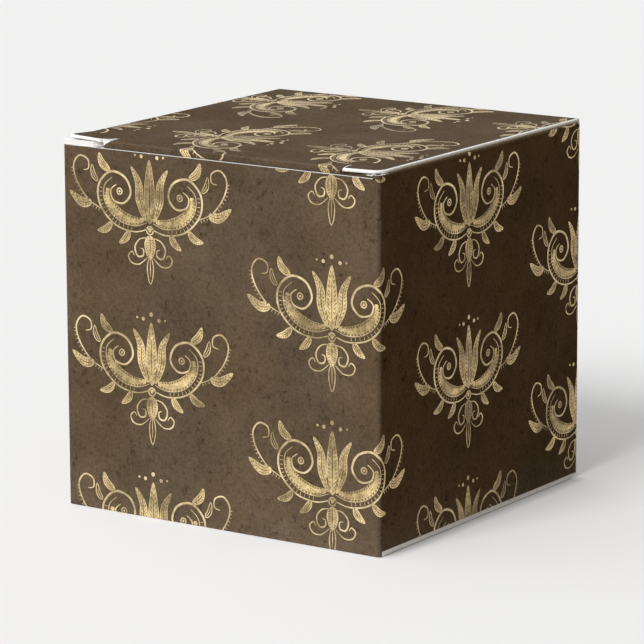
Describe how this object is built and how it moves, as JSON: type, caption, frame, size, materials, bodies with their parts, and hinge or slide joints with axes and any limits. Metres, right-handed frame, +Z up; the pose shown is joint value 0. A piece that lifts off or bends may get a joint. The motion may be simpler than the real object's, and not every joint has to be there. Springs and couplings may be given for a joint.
{
  "type": "favor box",
  "caption": "Small cube favor box folded from one sheet of card, with reverse tuck ends, slit locks, dust flaps and a glued side seam; the lid and the bottom both open.",
  "frame": {"origin": "centre of the bottom face, on the surface that the box stands on", "axes": "+Z up; the front wall, behind which the lid tucks in, faces -Y; +X to the right seen from the front"},
  "size_m": [0.0508, 0.0508, 0.0512],
  "materials": {
    "printed_card": "satin card printed dark brown with gold ornament outside, white inside",
    "plain_card": "uncoated white card",
    "dried_glue": "thin dried white glue"
  },
  "bodies": {
    "root": {"front_wall": "printed_card", "right_wall": "printed_card", "back_wall": "printed_card", "left_wall": "printed_card", "glue_flap": "plain_card", "glue_line": "dried_glue"},
    "lid": {"lid": "printed_card"},
    "lid_tuck": {"lid_tuck": "printed_card"},
    "top_dust_left": {"top_dust_flap_left": "plain_card"},
    "top_dust_right": {"top_dust_flap_right": "plain_card"},
    "bottom": {"bottom_panel": "printed_card"},
    "bottom_tuck": {"bottom_tuck": "printed_card"},
    "bottom_dust_left": {"bottom_dust_flap_left": "plain_card"},
    "bottom_dust_right": {"bottom_dust_flap_right": "plain_card"}
  },
  "joints": [
    {"name": "lid_fold", "type": "hinge", "parent": "root", "child": "lid", "pos_m": [0, 0.0252, 0.0506], "axis": [-1, 0, 0], "range_deg": [0, 170]},
    {"name": "lid_tuck_fold", "type": "hinge", "parent": "lid", "child": "lid_tuck", "pos_m": [0, -0.0247, 0.0506], "axis": [-1, 0, 0], "range_deg": [0, 42.5]},
    {"name": "top_dust_left_fold", "type": "hinge", "parent": "root", "child": "top_dust_left", "pos_m": [-0.0252, 0, 0.0501], "axis": [0, -1, 0], "range_deg": [0, 42.5]},
    {"name": "top_dust_right_fold", "type": "hinge", "parent": "root", "child": "top_dust_right", "pos_m": [0.0252, 0, 0.0501], "axis": [0, 1, 0], "range_deg": [0, 42.5]},
    {"name": "bottom_fold", "type": "hinge", "parent": "root", "child": "bottom", "pos_m": [0, -0.0252, 0.0002], "axis": [-1, 0, 0], "range_deg": [0, 170]},
    {"name": "bottom_tuck_fold", "type": "hinge", "parent": "bottom", "child": "bottom_tuck", "pos_m": [0, 0.0247, 0.0002], "axis": [-1, 0, 0], "range_deg": [0, 42.5]},
    {"name": "bottom_dust_left_fold", "type": "hinge", "parent": "root", "child": "bottom_dust_left", "pos_m": [-0.0252, 0, 0.0007], "axis": [0, 1, 0], "range_deg": [0, 42.5]},
    {"name": "bottom_dust_right_fold", "type": "hinge", "parent": "root", "child": "bottom_dust_right", "pos_m": [0.0252, 0, 0.0007], "axis": [0, -1, 0], "range_deg": [0, 42.5]}
  ],
  "couplings": [
    {"joint": "lid_tuck_fold", "follows": "lid_fold", "ratio": 0.25},
    {"joint": "top_dust_left_fold", "follows": "lid_fold", "ratio": 0.25},
    {"joint": "top_dust_right_fold", "follows": "lid_fold", "ratio": 0.25},
    {"joint": "bottom_tuck_fold", "follows": "bottom_fold", "ratio": 0.25},
    {"joint": "bottom_dust_left_fold", "follows": "bottom_fold", "ratio": 0.25},
    {"joint": "bottom_dust_right_fold", "follows": "bottom_fold", "ratio": 0.25}
  ]
}
